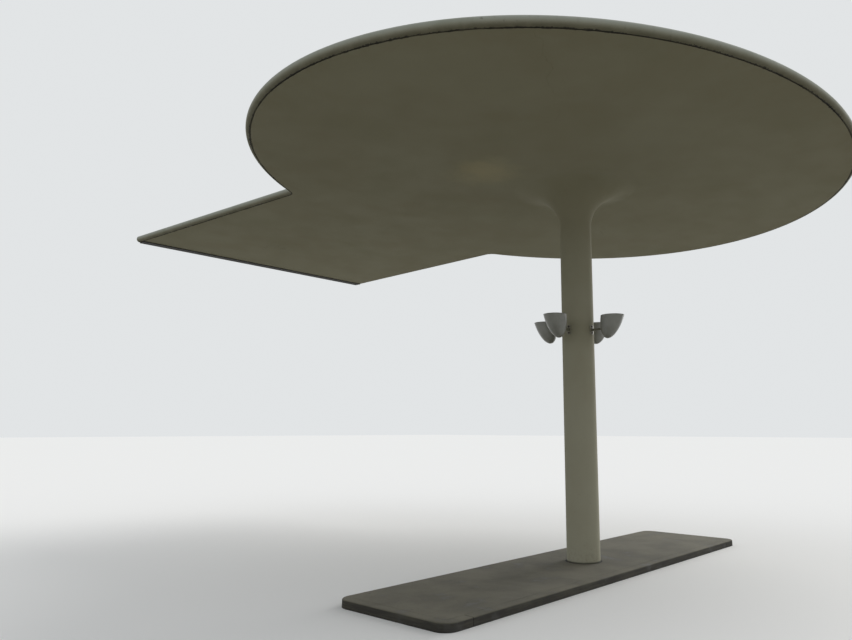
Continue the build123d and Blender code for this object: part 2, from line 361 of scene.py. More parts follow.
# %% The column's finish
def column_paint():
    f, rough = painted_coat("painted_column")
    f.patches(PAINT_BROWN, 1.0, 0.55, 0.8, 0.16, 4.0, 0.6, f.stretched(0.05, 0.05, 1.6))
    low = f.ramp(f.axis("Z"), ISLAND_TOP, ISLAND_TOP + 0.28, 1.0, 0.0)
    f.over(f.times(low, f.ramp(f.noise(0.03, 6.0, 0.7), 0.45, 0.72, 0.0, 0.35)), tone(104, 100, 88))
    f.over(f.ramp(f.axis("Z"), ISLAND_TOP + 0.004, ISLAND_TOP + 0.02, 0.8, 0.0), GRIME)
    band = f.times(f.ramp(f.axis("Z"), 0.35, 0.6), f.ramp(f.axis("Z"), 0.9, 1.3, 1.0, 0.0))
    scuffs = f.ramp(f.noise(1.0, 5.0, 0.75, f.stretched(0.11, 0.11, 0.018)), 0.64, 0.72)
    f.over(f.times(f.times(band, scuffs), 0.3), tone(88, 86, 78))
    return f.done(rough, Specular_IOR_Level=0.4)


COLUMN_PAINT = column_paint()
print("column finish has", len(COLUMN_PAINT.node_tree.nodes), "nodes")


# %% [markdown]
# ## Concrete of the island
# The island is bare concrete. Its top is trowelled, paler where it was patched and dark where oil
# soaked in. The kerb's face is nearly black from scuffs, and its worn arris shows the stones in the
# mix. One function serves both, because they were cast together, and the share of scuff black
# comes from which way the surface faces.


# %% The island's finish
def island_concrete(name, face_dark):
    f = Finish(name, tone(108, 104, 89))
    f.patches(tone(90, 87, 74), 0.5, 0.35, 0.68, 1.0, 5.0, 0.6)
    f.patches(tone(71, 69, 60), 0.0035, 0.35, 0.7, 0.35, 2.0, 0.7)
    stones = f.ramp(f.cells(0.011), 0.12, 0.2, 0.5, 0.0)
    f.over(f.times(stones, f.ramp(f.noise(0.07, 4.0, 0.7), 0.52, 0.66)), tone(148, 142, 126))
    oil = f.ramp(f.noise(0.24, 5.0, 0.62), 0.56, 0.7, 0.0, 0.6)
    f.over(oil, tone(54, 52, 46))
    f.patches(tone(48, 46, 42), 0.035, 0.68, 0.73, 0.45, 2.0, 0.5)
    if face_dark:
        side = f.ramp(f.up(), 0.25, 0.85, 1.0, 0.0)
        scuffs = f.ramp(f.noise(1.0, 5.0, 0.7, f.stretched(0.35, 0.35, 0.03)), 0.25, 0.7, 0.55, 0.95)
        f.over(f.times(side, scuffs), tone(40, 38, 34))
        f.over(f.ramp(f.attribute("chip"), 0.3, 0.7, 0.0, 0.7), tone(120, 115, 100))
        f.over(f.ramp(f.axis("Z"), 0.0, 0.02, 0.7, 0.0), tone(36, 35, 31))
    f.bump(f.noise(0.004, 3.0, 0.7), 0.0008)
    f.bump(f.noise(0.12, 4.0), 0.003)
    return f.done(f.ramp(oil, 0.0, 0.6, 0.90, 0.62))


KERB_CONCRETE = island_concrete("kerb_concrete", True)
TOP_CONCRETE = island_concrete("trowelled_concrete", False)
print("kerb finish has", len(KERB_CONCRETE.node_tree.nodes), "nodes")


# %% [markdown]
# ## Metal, rubber and glass
# The bowls are spun aluminium with satin paint that has chalked a little, with dust on top and thin
# runs down from the rim. Inside they are white, to throw the light up. These finishes are small next
# to the roof, yet the lamps stand at the middle of the picture, so each gets its own wear.


# %% Finishes of the bowls
def lamp_paint():
    f = Finish("satin_lamp_paint", tone(149, 149, 144))
    chalk = f.ramp(f.noise(0.09, 5.0, 0.6), 0.35, 0.7)
    f.over(chalk, tone(140, 141, 135))
    f.patches(tone(92, 94, 86), 1.0, 0.58, 0.8, 0.22, 4.0, 0.6, f.stretched(0.02, 0.02, 0.25))
    f.patches(tone(74, 72, 64), 0.006, 0.7, 0.78, 0.5, detail=2.0)
    f.over(f.ramp(f.up(), 0.2, 0.9, 0.0, 0.5), tone(150, 146, 132))
    f.bump(f.noise(0.0045, 2.0), 0.00012)
    return f.done(f.ramp(chalk, 0.0, 1.0, 0.34, 0.5), Coat_Weight=0.15, Coat_Roughness=0.3)


def reflector_paint():
    f = Finish("white_reflector", tone(226, 224, 214))
    f.patches(tone(178, 172, 152), 0.05, 0.4, 0.75, 0.3, detail=4.0)
    f.bump(f.noise(0.005, 2.0), 0.0001)
    return f.done(0.38)


LAMP_PAINT, REFLECTOR = lamp_paint(), reflector_paint()
print("finished:", LAMP_PAINT.name, REFLECTOR.name)


# %% [markdown]
# ### Brackets, bolts and joints
# The brackets are steel under worn paint with rust at their edges, and their plates were painted over
# with the column. The bolts are zinc gone dull. Joints are filled with a dusty black compound.


# %% Finishes of the brackets, bolts and joints
def bracket_paint(name, new, old, dirt):
    """Paint on steel, with dirt that gathers in patches and rust that starts in specks."""
    f = Finish(name, new)
    f.patches(old, 0.03, 0.4, 0.7, 1.0, 5.0, 0.65)
    f.patches(dirt, 0.022, 0.46, 0.7, 0.75, 5.0, 0.7)
    rust = f.ramp(f.noise(0.012, 5.0, 0.7), 0.62, 0.72, 0.0, 0.8)
    f.over(rust, tone(92, 58, 34))
    f.bump(f.noise(0.004, 4.0, 0.7), 0.0003)
    return f.done(f.ramp(rust, 0.0, 0.8, 0.42, 0.85))


def zinc():
    f = Finish("weathered_zinc", tone(92, 92, 88))
    f.over(f.ramp(f.cells(0.004), 0.1, 0.5), tone(66, 66, 62))
    f.patches(tone(86, 52, 30), 0.006, 0.48, 0.62, 0.85, 4.0, 0.7)
    f.bump(f.noise(0.002, 3.0), 0.0002)
    return f.done(0.6, Metallic=0.6)


def joint_filler():
    f = Finish("joint_filler", tone(34, 33, 31))
    f.patches(tone(84, 80, 70), 0.03, 0.42, 0.72, 0.6, 5.0, 0.7)
    f.bump(f.noise(0.008, 4.0), 0.0012)
    return f.done(0.85)


BRACKET_PAINT = bracket_paint("worn_bracket_paint", tone(122, 120, 104), tone(106, 104, 88), tone(78, 76, 64))
PLATE_PAINT = bracket_paint(
    "painted_over_plate", tone(150, 147, 130), tone(138, 134, 116), tone(104, 100, 86),
)
ZINC, JOINT_FILLER = zinc(), joint_filler()
print("finished:", BRACKET_PAINT.name, PLATE_PAINT.name, ZINC.name, JOINT_FILLER.name)


# %% [markdown]
# ### Glass and porcelain
# Each bowl is closed by a clear disc that has caught dust and drip marks. A frosted bulb stands in a
# porcelain holder below it. Glass is mostly its reflections, so the shader's own sockets do the
# work, and the dust is only where roughness rises.


# %% Finishes inside the bowls
def cover_glass():
    f = Finish("dusty_cover_glass", tone(236, 242, 240))
    dust = f.ramp(f.noise(0.03, 5.0, 0.65), 0.45, 0.8, 0.02, 0.35)
    f.over(dust, tone(196, 192, 178))
    return f.done(dust, Transmission_Weight=0.92, IOR=1.5)


def frosted_bulb():
    f = Finish("frosted_bulb", tone(238, 236, 228))
    f.patches(tone(226, 222, 208), 0.02, 0.35, 0.7)
    return f.done(0.4, Transmission_Weight=0.35, IOR=1.45)


def porcelain():
    f = Finish("porcelain", tone(222, 218, 204))
    f.over(f.ramp(f.cells(0.006, "DISTANCE_TO_EDGE"), 0.0, 0.02, 0.35, 0.0), tone(150, 138, 112))
    f.patches(tone(120, 112, 96), 0.02, 0.5, 0.75, 0.4, detail=4.0)
    return f.done(0.25)


COVER_GLASS, FROSTED, PORCELAIN = cover_glass(), frosted_bulb(), porcelain()
print("finished:", COVER_GLASS.name, FROSTED.name, PORCELAIN.name)


# %% [markdown]
# ## Helpers for meshes
# Three kinds of shape cover most pieces. A turned shape, such as the column or a bulb, comes from
# half a section spun about an axis. A swept shape, such as the edge or a kerb, comes from a section
# that follows a path. A repeated shape, such as a bolt, is made once and set on points. The last
# two are Geometry Nodes trees, because there a size can be changed without rebuilding by hand.


# %% Turned shapes, and small tools for objects
def new_object(name, data):
    thing = bpy.data.objects.new(name, data)
    bpy.context.scene.collection.objects.link(thing)
    return thing


def new_mesh(name, points, faces, *finishes):
    mesh = bpy.data.meshes.new(name)
    mesh.from_pydata(points, [], faces)
    for finish in finishes:
        mesh.materials.append(finish)
    return mesh


def full_turn(steps):
    """Even angles once round, in radians."""
    return [2 * math.pi * i / steps for i in range(steps)]


def turned(name, section, steps, finish, matrix=None):
    """Spin (radius, height) pairs, listed from the bottom up, about Z. A radius of 0 closes a pole."""
    points, rings = [], []
    for radius, height in section:
        if radius == 0:
            rings.append([len(points)])
            points.append((0.0, 0.0, height))
        else:
            rings.append([len(points) + i for i in range(steps)])
            points += [(radius * math.cos(t), radius * math.sin(t), height) for t in full_turn(steps)]
    faces = []
    for low, high in zip(rings, rings[1:]):
        for i in range(steps):
            j = (i + 1) % steps
            corners = [low[i % len(low)], low[j % len(low)], high[j % len(high)], high[i % len(high)]]
            faces.append([c for k, c in enumerate(corners) if c not in corners[:k]])
    mesh = new_mesh(name, points, [f for f in faces if len(f) > 2], finish)
    if matrix is not None:
        mesh.transform(matrix)
    soup = bmesh.new()
    soup.from_mesh(mesh)
    bmesh.ops.remove_doubles(soup, verts=soup.verts, dist=1e-6)
    bmesh.ops.recalc_face_normals(soup, faces=soup.faces)
    soup.to_mesh(mesh)
    soup.free()
    mesh.shade_smooth()
    mesh.set_sharp_from_angle(angle=math.radians(35))
    return new_object(name, mesh)


def curve_object(name, points, closed):
    data = bpy.data.curves.new(name, "CURVE")
    data.dimensions = "3D"
    spline = data.splines.new("POLY")
    spline.points.add(len(points) - 1)
    for target, point in zip(spline.points, points):
        target.co = (*point, 1.0)
    spline.use_cyclic_u = closed
    return new_object(name, data)


# %% [markdown]
# ### Giving a piece its finish
# A solid whose shape is already right keeps it and only changes its material, in the slot that the
# object itself holds. A new piece takes its material and the body that it moves with, and says which
# solids it stands for, so that they are hidden.


# %% Repainting a solid, and dressing a new piece
def repaint(finish, *nodes):
    """Give solids that keep their own shape a better finish."""
    for node in nodes:
        for slot in solids[node].material_slots:
            slot.material = finish


def dress(piece, finish, slot_name, *nodes):
    """Give a finished piece its material and body, and hide the solids that it stands for. slot_name is not
    used.
    """
    if finish is not None:
        piece.data.materials.clear()
        piece.data.materials.append(finish)
    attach(piece, "root")
    if nodes:
        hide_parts(*nodes)
    return piece


print("the slab has", len(solids["roof_slab"].material_slots), "place for a finish")


# %% [markdown]
# ### Opening and closing a tree
# Every tree here starts with named inputs and ends in the same three nodes. Instances are made real
# there, because an exported file can't hold them, and the finish is set last, so nothing loses it.
# One more step keeps a number at each point, for the wear and for the finish to read.


# %% Start and end of a tree
class ShapeTree(Nodes):
    """A Geometry Nodes tree under way, with the inputs that it is given by name."""

    def __init__(self, name, sockets):
        super().__init__(bpy.data.node_groups.new(name, "GeometryNodeTree"))
        face = self.tree.interface
        face.new_socket("Geometry", in_out="INPUT", socket_type="NodeSocketGeometry")
        for label, kind, default in sockets:
            socket = face.new_socket(label, in_out="INPUT", socket_type=kind)
            if default is not None:
                socket.default_value = default
        face.new_socket("Geometry", in_out="OUTPUT", socket_type="NodeSocketGeometry")
        self.given = self.add("NodeGroupInput", {})

    def stored(self, geometry, name, value):
        """The geometry with one number kept at each of its points, under a name."""
        inputs = {"Geometry": geometry, "Name": name, "Value": value}
        return self.add("GeometryNodeStoreNamedAttribute", inputs)[0]

    def done(self, geometry):
        real = self.add("GeometryNodeRealizeInstances", {0: geometry})[0]
        inputs = {"Geometry": real, "Material": self.given["Finish"]}
        self.add("NodeGroupOutput", {0: self.add("GeometryNodeSetMaterial", inputs)[0]})
        return self.tree


print("node trees so far:", len(bpy.data.node_groups))


# %% [markdown]
# ### How a swept surface wears
# Two kinds of age come over cast and cut edges. A slow waver pulls the surface in by a millimetre or
# so, as in work run by hand. Chips bite along one lip of the section, where noise passes a threshold.
# Both read a noise with a fourth coordinate, so another seed gives other chips at the same place.


# %% Chips and waver
CHIP_FROM, CHIP_FULL = 0.54, 0.68


def seeded_noise(t, scale, detail):
    place = t.add("GeometryNodeInputPosition", {})[0]
    inputs = {"Vector": place, "W": t.given["Seed"], "Scale": scale, "Detail": detail}
    return t.add("ShaderNodeTexNoise", inputs, noise_dimensions="4D")["Fac"]


def chip_share(t):
    """1 where a chip bites and 0 elsewhere, only within the lip's width."""
    around = t.add("GeometryNodeInputNamedAttribute", {"Name": "round"}, data_type="FLOAT")[0]
    off_lip = t.calc("ABSOLUTE", t.calc("SUBTRACT", around, t.given["Lip"]))
    near_lip = t.ramp(off_lip, 0.0, t.given["Lip Width"], 1.0, 0.0)
    bites = seeded_noise(t, t.calc("DIVIDE", 1.0, t.given["Chip Size"]), 3.0)
    return t.times(t.ramp(bites, CHIP_FROM, CHIP_FULL), near_lip)


def drawn_in(t, geometry, chip):
    """The surface moved inward by the depth of its chips and its waver."""
    waver = t.times(seeded_noise(t, 1.3, 2.0), t.given["Waver"])
    loss = t.calc("MULTIPLY_ADD", chip, t.given["Chip Depth"], waver)
    inputs = {0: t.add("GeometryNodeInputNormal", {})[0], "Scale": t.times(loss, -1.0)}
    push = t.add("ShaderNodeVectorMath", inputs, operation="SCALE")[0]
    return t.add("GeometryNodeSetPosition", {"Geometry": geometry, "Offset": push})[0]


def crisp(t, geometry):
    """Smooth faces, with edges over 40 degrees left sharp."""
    inputs = {"Geometry": geometry, "Shade Smooth": True}
    smooth = t.add("GeometryNodeSetShadeSmooth", inputs, domain="FACE")[0]
    limit = {0: t.add("GeometryNodeInputMeshEdgeAngle", {})["Unsigned Angle"], 1: math.radians(40)}
    sharp = t.add("FunctionNodeCompare", limit, data_type="FLOAT", operation="GREATER_THAN")[0]
    inputs = {"Geometry": smooth, "Selection": sharp, "Shade Smooth": False}
    return t.add("GeometryNodeSetShadeSmooth", inputs, domain="EDGE")[0]


print("chips bite where the noise is over", CHIP_FROM)


# %% [markdown]
# ### The tree that sweeps a section along a path
# The path keeps its upright, so the section never rolls. The length along the path, the length round
# the section and the share of each chip are stored at the points, for the wear and for the finish to
# use. The wear only takes material away, so the piece stays inside its solid.


# %% Sweep tree
def sweep_tree():
    t = ShapeTree("sweep_with_worn_lip", [
        ("Section", "NodeSocketObject", None),
        ("Lip", "NodeSocketFloat", 0.0),
        ("Lip Width", "NodeSocketFloat", 0.01),
        ("Chip Depth", "NodeSocketFloat", 0.0),
        ("Chip Size", "NodeSocketFloat", 0.05),
        ("Waver", "NodeSocketFloat", 0.0),
        ("Seed", "NodeSocketInt", 1),
        ("Finish", "NodeSocketMaterial", None),
    ])
    level = t.add("GeometryNodeSetCurveNormal", {0: t.given["Geometry"]}, mode="Z_UP")[0]
    length = t.add("GeometryNodeSplineParameter", {})["Length"]
    cut = t.add("GeometryNodeObjectInfo", {"Object": t.given["Section"]})["Geometry"]
    path, cut = t.stored(level, "run", length), t.stored(cut, "round", length)
    swept = t.add("GeometryNodeCurveToMesh", {"Curve": path, "Profile Curve": cut, "Fill Caps": True})[0]
    chip = chip_share(t)
    return t.done(crisp(t, drawn_in(t, t.stored(swept, "chip", chip), chip)))


SWEEP = sweep_tree()
print("sweep tree has", len(SWEEP.nodes), "nodes")


# %% [markdown]
# ### Running a tree
# The tree's inputs are set by each socket's identifier before the object is first evaluated. The
# result is then copied out as a plain mesh, and the helper curve is removed with its modifier.


# %% Grow a mesh from a tree
def grown(name, base, tree, helpers=(), **values):
    modifier = base.modifiers.new("grow", "NODES")
    modifier.node_group = tree
    for item in tree.interface.items_tree:
        key = item.name.lower().replace(" ", "_")
        if item.in_out == "INPUT" and key in values:
            modifier[item.identifier] = values[key]
    base.update_tag()
    depsgraph = bpy.context.evaluated_depsgraph_get()
    mesh = bpy.data.meshes.new_from_object(base.evaluated_get(depsgraph), depsgraph=depsgraph)
    mesh.name = name
    for spare in (base, *helpers):
        bpy.data.objects.remove(spare)
    return new_object(name, mesh)


def section_curve(points):
    """A closed section from (out, up) pairs, in the turn that makes its sweep face outward."""
    flat = [(out, -up, 0.0) for out, up in points]
    area = sum(a[0] * b[1] - b[0] * a[1] for a, b in zip(flat, flat[1:] + flat[:1]))
    if area < 0:
        flat.reverse()
    return curve_object("section", flat, True)


def swept_piece(name, path, closed, section, finish, **age):
    """Sweep a section along a path of points. Its outward side is on the right of the way along."""
    base = curve_object("path", path, closed)
    cut = section_curve(section)
    piece = grown(name, base, SWEEP, [cut], section=cut, finish=finish, **age)
    print(name, len(piece.data.polygons), "faces")
    return piece


# %% [markdown]
# ## The rounded edge of the roof
# On the real roof a half-round nose finishes the slab all the way round, with a drip groove behind
# it. It follows one path: down the neck's left side, through a cove into the oval, round the oval
# and back along the other side to its end. The cove's centre is found by sliding a circle along
# the neck's side, halving the span between too near and too far, until it touches the oval.


# %% Sides, oval and cove
COVE_BETWEEN, HALVINGS = (1.5, 4.5), 40


def neck_side(side, y):
    """A point on the neck's straight side, and the direction that faces away from the neck."""
    tilt = math.hypot(1.0, NECK_SPREAD)
    edge = Vector((NECK_X + side * (NECK_HALF_ROOT + NECK_SPREAD * (y - NECK_ROOT_Y)), y))
    return edge, Vector((side, -NECK_SPREAD)) / tilt


def oval_point(turn):
    return OVAL_CENTRE + Vector((OVAL_HALF[0] * math.cos(turn), OVAL_HALF[1] * math.sin(turn)))


def halved(low, high, falls_short):
    """The place from low to high where a test stops holding, found by halving the span."""
    for _ in range(HALVINGS):
        middle = (low + high) / 2
        if falls_short(middle):
            low = middle
        else:
            high = middle
    return middle


def cove(side):
    """Centre of the corner's circle, where it leaves the neck, and the turn where it meets the oval."""
    turns = [math.radians(90 - side * 0.1 * i) for i in range(900)]

    def circle_at(y):
        edge, away = neck_side(side, y)
        centre = edge + away * CORNER_RADIUS
        return centre, edge, min(turns, key=lambda t: (oval_point(t) - centre).length)

    def too_near(y):
        centre, _, near = circle_at(y)
        out = centre - OVAL_CENTRE
        within = math.hypot(out.x / OVAL_HALF[0], out.y / OVAL_HALF[1]) < 1
        return within or (oval_point(near) - centre).length < CORNER_RADIUS

    return circle_at(halved(*COVE_BETWEEN, too_near))


print("the left cove leaves the neck at y", round(cove(-1)[1].y, 3))


# %% [markdown]
# ### One line round the roof
# The stretches are joined into one line, and the line is then divided again into even steps, because
# uneven ones would show as bands in the swept edge. The same two helpers serve the island's kerbs.


# %% The path round the roof
def arc(centre, start, end, step):
    """Points on the shorter arc about a centre from one point to another."""
    first, last = start - centre, end - centre
    turn = first.angle_signed(last)
    count = max(2, math.ceil(abs(turn) * first.length / step))
    return [centre + Matrix.Rotation(-turn * i / count, 2) @ first for i in range(count + 1)]


def evenly(points, step):
    """The same line with its points a set distance apart."""
    result, carried = [points[0]], 0.0
    for start, end in zip(points, points[1:]):
        length = (end - start).length
        along = step - carried
        while along < length:
            result.append(start.lerp(end, along / length))
            along += step
        carried = length - (along - step)
    if (result[-1] - points[-1]).length > step / 4:
        result.append(points[-1])
    else:
        result[-1] = points[-1]
    return result


def roof_outline(step, fine_step=0.01, oval_steps=2400):
    left_centre, left_edge, left_turn = cove(-1)
    right_centre, right_edge, right_turn = cove(1)
    line = [neck_side(-1, NECK_END)[0], left_edge]
    line += arc(left_centre, left_edge, oval_point(left_turn), fine_step)[1:]
    start, end = left_turn, right_turn + 2 * math.pi
    line += [oval_point(start + (end - start) * i / oval_steps) for i in range(1, oval_steps)]
    line += arc(right_centre, oval_point(right_turn), right_edge, fine_step)
    line.append(neck_side(1, NECK_END)[0])
    return evenly(line, step)


roof_path = roof_outline(0.025)
roof_run = sum((b - a).length for a, b in zip(roof_path, roof_path[1:]))
print("edge runs", round(roof_run, 2), "m in", len(roof_path), "points")


# %% [markdown]
# ### The nose and its groove
# The section starts at the groove. The nose is two quarter circles with a short flat between them,
# and the lip that chips is its lower inner corner.


# %% The rounded edge
NOSE_REACH, NOSE_RADIUS, DRIP_WIDTH, DRIP_DEPTH, PLAY = 0.047, 0.045, 0.0063, 0.010, 0.0003


def nose_section():
    thick = SLAB_TOP - SOFFIT
    centre = NOSE_REACH - NOSE_RADIUS
    start = math.acos((DRIP_WIDTH - centre) / NOSE_RADIUS)
    lower = [start * (1 - i / 14) for i in range(15)]
    points = [(PLAY, DRIP_DEPTH), (DRIP_WIDTH, DRIP_DEPTH), (DRIP_WIDTH, 0.006)]
    points += [(centre + NOSE_RADIUS * math.cos(a), NOSE_RADIUS - NOSE_RADIUS * math.sin(a)) for a in lower]
    upper, high = [math.pi / 2 * i / 12 for i in range(13)], thick - NOSE_RADIUS
    points += [(centre + NOSE_RADIUS * math.cos(a), high + NOSE_RADIUS * math.sin(a)) for a in upper]
    return points + [(PLAY, thick), (PLAY, thick / 2)]


def length_to(points, index):
    return sum(math.dist(a, b) for a, b in zip(points[:index], points[1 : index + 1]))


section = nose_section()
edge_path = [(p.x, p.y, SOFFIT) for p in roof_path]
roof_edge = swept_piece(
    "rounded_edge", edge_path, False, section, EDGE_PAINT,
    lip=length_to(section, 3), lip_width=0.016, chip_depth=0.005, chip_size=0.055, waver=0.0016, seed=7,
)
dress(roof_edge, EDGE_PAINT, "painted_concrete", "edge_nosing")
print("edge is", round(SLAB_TOP - SOFFIT, 3), "m deep, with", len(section), "points round its section")


# %% [markdown]
# ## Roof slab and column
# The slab is flat, so its solid is already right and only takes the soffit's finish. The column and
# its flared head are one casting on the real canopy. They are turned here as one piece, with the
# flare's curve carried on until it dies into the soffit, so no ring shows where they meet.


# %% Soffit and column
repaint(SOFFIT_PAINT, "roof_slab")

FLARE_HEIGHT, FLARE_REACH = 0.450, 0.540


def column_section():
    flare_base = SOFFIT - FLARE_HEIGHT
    shaft = [(0.0, 0.0)] + [(COLUMN_RADIUS, flare_base * i / 60) for i in range(61)]
    flare = []
    for i in range(1, 49):
        turn = math.pi / 2 * i / 48
        out = COLUMN_RADIUS + FLARE_REACH * (1 - math.cos(turn))
        flare.append((out, flare_base + FLARE_HEIGHT * math.sin(turn)))
    return shaft + flare + [(0.0, SOFFIT)]


column = turned("cast_column", column_section(), 128, COLUMN_PAINT)
dress(column, COLUMN_PAINT, "painted_concrete", "column_shaft", "column_capital")
print("column", len(column.data.polygons), "faces")


# %% [markdown]
# ## The island
# The kerbs are cast in four lengths. Each is swept along its own stretch of the island's outline,
# with chips along the outer arris. The top is a flat slab and keeps its solid.


# %% Kerbs and island top
ISLAND_LOW, ISLAND_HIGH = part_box("kerb_left_end")[0].xy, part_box("kerb_right_end")[1].xy
ISLAND_CORNER, KERB_WIDTH, KERB_ARRIS, KERB_END, KERB_JOINT = 0.130, 0.100, 0.013, 0.300, 0.004
KERB_STEP = 0.02


def kerb_section():
    top = ISLAND_TOP
    arris = [math.pi / 2 * i / 6 for i in range(7)]
    points = [(0.0, 0.0), (0.0, 0.012), (0.0, 0.024), (0.0, 0.038), (0.0, 0.050)]
    points += [(KERB_ARRIS * (math.cos(a) - 1), top - KERB_ARRIS * (1 - math.sin(a))) for a in arris]
    points += [(-0.03, top), (-0.05, top), (-0.075, top), (-KERB_WIDTH, top)]
    return points + [(-KERB_WIDTH, 0.0), (-0.05, 0.0)]


def island_end(side):
    """The outline round one end, listed so that the outside is on the right."""
    x = ISLAND_HIGH.x if side > 0 else ISLAND_LOW.x
    inner = x - side * ISLAND_CORNER
    start = Vector((x - side * KERB_END, side * ISLAND_LOW.y))
    line = [start]
    for part in (-1, 1):
        centre = Vector((inner, side * part * (ISLAND_HIGH.y - ISLAND_CORNER)))
        toward_end, toward_side = Vector((side * ISLAND_CORNER, 0)), Vector((0, side * part * ISLAND_CORNER))
        ends = (centre + toward_side, centre + toward_end)
        line += arc(centre, *(ends if part < 0 else ends[::-1]), 0.01)
    return evenly(line + [Vector((start.x, -start.y))], KERB_STEP)


side_start, side_end = ISLAND_LOW.x + KERB_END + KERB_JOINT, ISLAND_HIGH.x - KERB_END - KERB_JOINT
kerb_paths = {
    "kerb_front": evenly([Vector((side_start, ISLAND_LOW.y)), Vector((side_end, ISLAND_LOW.y))], KERB_STEP),
    "kerb_right_end": island_end(1),
    "kerb_back": evenly([Vector((side_end, ISLAND_HIGH.y)), Vector((side_start, ISLAND_HIGH.y))], KERB_STEP),
    "kerb_left_end": island_end(-1),
}
kerb_cut = kerb_section()
for count, (node, path) in enumerate(kerb_paths.items()):
    kerb = swept_piece(
        "cast_" + node, [(p.x, p.y, 0.0) for p in path], False, kerb_cut, KERB_CONCRETE,
        lip=length_to(kerb_cut, 8), lip_width=0.024, chip_depth=0.007, chip_size=0.045,
        waver=0.002, seed=20 + count,
    )
    dress(kerb, KERB_CONCRETE, "kerb_concrete", node)

repaint(TOP_CONCRETE, "island_top")
repaint(JOINT_FILLER, "foot_seal", "bearing_strip")
print("island is", round(ISLAND_HIGH.x - ISLAND_LOW.x, 3), "by", round(ISLAND_HIGH.y - ISLAND_LOW.y, 3), "m")


# %% [markdown]
# ## The lamps
# A bowl is half an egg, spun from sheet, hung with its axis leaning out and then cut level, so its
# rim is a level oval although the egg leans. Each point of the shell is found by going round the
# axis and up it to the level of the rim. The shell has an outer and an inner side, with white paint
# inside, and the cut edge is rolled over a wire, which is swept along the rim.


# %% Bowl shape
BOWL_APEX = Vector((0.374, 0.0, 2.495))
BOWL_LEAN = math.radians(18.6)
BOWL_RADIUS, BOWL_LENGTH, BOWL_WALL = 0.1285, 0.320, 0.003
RIM_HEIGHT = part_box("bowl_right")[1].z
BEAD_RADIUS, GASKET_RADIUS = 0.0032, 0.0016
bowl_axis = Vector((math.sin(BOWL_LEAN), 0.0, math.cos(BOWL_LEAN)))
bowl_across = Vector((math.cos(BOWL_LEAN), 0.0, -math.sin(BOWL_LEAN)))
lamp_matrix = Matrix((
    (bowl_across.x, 0.0, bowl_axis.x, BOWL_APEX.x),
    (0.0, 1.0, 0.0, 0.0),
    (bowl_across.z, 0.0, bowl_axis.z, BOWL_APEX.z),
    (0.0, 0.0, 0.0, 1.0),
))


def bowl_point(turn, along, shrink):
    """A point of the egg's wall at a distance along the axis from its foot."""
    share = (BOWL_LENGTH - along) / (BOWL_LENGTH - shrink)
    radius = (BOWL_RADIUS - shrink) * math.sqrt(max(0.0, 1 - share * share))
    return lamp_matrix @ Vector((radius * math.cos(turn), radius * math.sin(turn), along))


def along_to_rim(turn, shrink):
    return halved(shrink, BOWL_LENGTH, lambda along: bowl_point(turn, along, shrink).z < RIM_HEIGHT)


far, near = bowl_point(0, along_to_rim(0, 0), 0), bowl_point(math.pi, along_to_rim(math.pi, 0), 0)
print("rim at", round(far.z, 4), "m and", round(far.x - near.x, 3), "m across")


# %% [markdown]
# ### The shell
# Rings of points go up the outside and down the inside, closer together near the foot, where the
# egg bends most. Each foot is closed by a fan of triangles, and the two materials follow the side.


# %% Mesh of a bowl
def bowl_wall_rings(shrink, steps, levels):
    rims = [(turn, along_to_rim(turn, shrink)) for turn in full_turn(steps)]
    rings = []
    for level in range(1, levels + 1):
        share = (level / levels) ** 1.7
        rings.append([bowl_point(turn, shrink + (rim - shrink) * share, shrink) for turn, rim in rims])
    return rings


def bowl_mesh():
    steps, levels = 72, 22
    outer, inner = bowl_wall_rings(0.0, steps, levels), bowl_wall_rings(BOWL_WALL, steps, levels)
    rings = outer + inner[::-1]
    points = [p for ring in rings for p in ring]
    faces, inside = [], []
    for number in range(len(rings) - 1):
        for i in range(steps):
            j, a, b = (i + 1) % steps, number * steps, (number + 1) * steps
            faces.append((a + i, a + j, b + j, b + i))
            inside.append(number >= levels)
    outer_foot, inner_foot = bowl_point(0, 0.0, 0.0), bowl_point(0, BOWL_WALL, BOWL_WALL)
    for ring, foot, flip in ((0, outer_foot, True), (len(rings) - 1, inner_foot, False)):
        points.append(foot)
        for i in range(steps):
            a, b = ring * steps + i, ring * steps + (i + 1) % steps
            faces.append((b, a, len(points) - 1) if flip else (a, b, len(points) - 1))
            inside.append(not flip)
    mesh = new_mesh("bowl", points, faces, LAMP_PAINT, REFLECTOR)
    mesh.polygons.foreach_set("material_index", [int(v) for v in inside])
    mesh.shade_smooth()
    mesh.set_sharp_from_angle(angle=math.radians(45))
    return mesh


bowl_shell = new_object("bowl_wall", bowl_mesh())
print("bowl", len(bowl_shell.data.polygons), "faces")


# %% [markdown]
# ### The rolled rim
# The sheet is rolled over a wire at the rim, which stiffens it and leaves a safe edge, and a soft
# ring seats the cover glass just below. Both follow the level oval in which the egg is cut, so the
# sweep tree makes them. The bead and the shell are one piece of metal and become one object.


# %% Rim, gasket and joining
def rim_path(shrink, drop, steps=96):
    points = [bowl_point(t, along_to_rim(t, shrink), shrink) for t in full_turn(steps)]
    return [(p.x, p.y, RIM_HEIGHT - drop) for p in points]


def circle_section(radius, steps=12):
    return [(radius * math.cos(t), radius * math.sin(t)) for t in full_turn(steps)]


def merged(name, things):
    """One object from several, each at the origin."""
    soup = bmesh.new()
    finishes = []
    for thing in things:
        before = len(soup.faces)
        soup.from_mesh(thing.data)
        soup.faces.ensure_lookup_table()
        for face in list(soup.faces)[before:]:
            own = thing.data.materials[face.material_index]
            if own not in finishes:
                finishes.append(own)
            face.material_index = finishes.index(own)
    mesh = bpy.data.meshes.new(name)
    soup.to_mesh(mesh)
    soup.free()
    for finish in finishes:
        mesh.materials.append(finish)
    for thing in things:
        bpy.data.objects.remove(thing)
    return new_object(name, mesh)


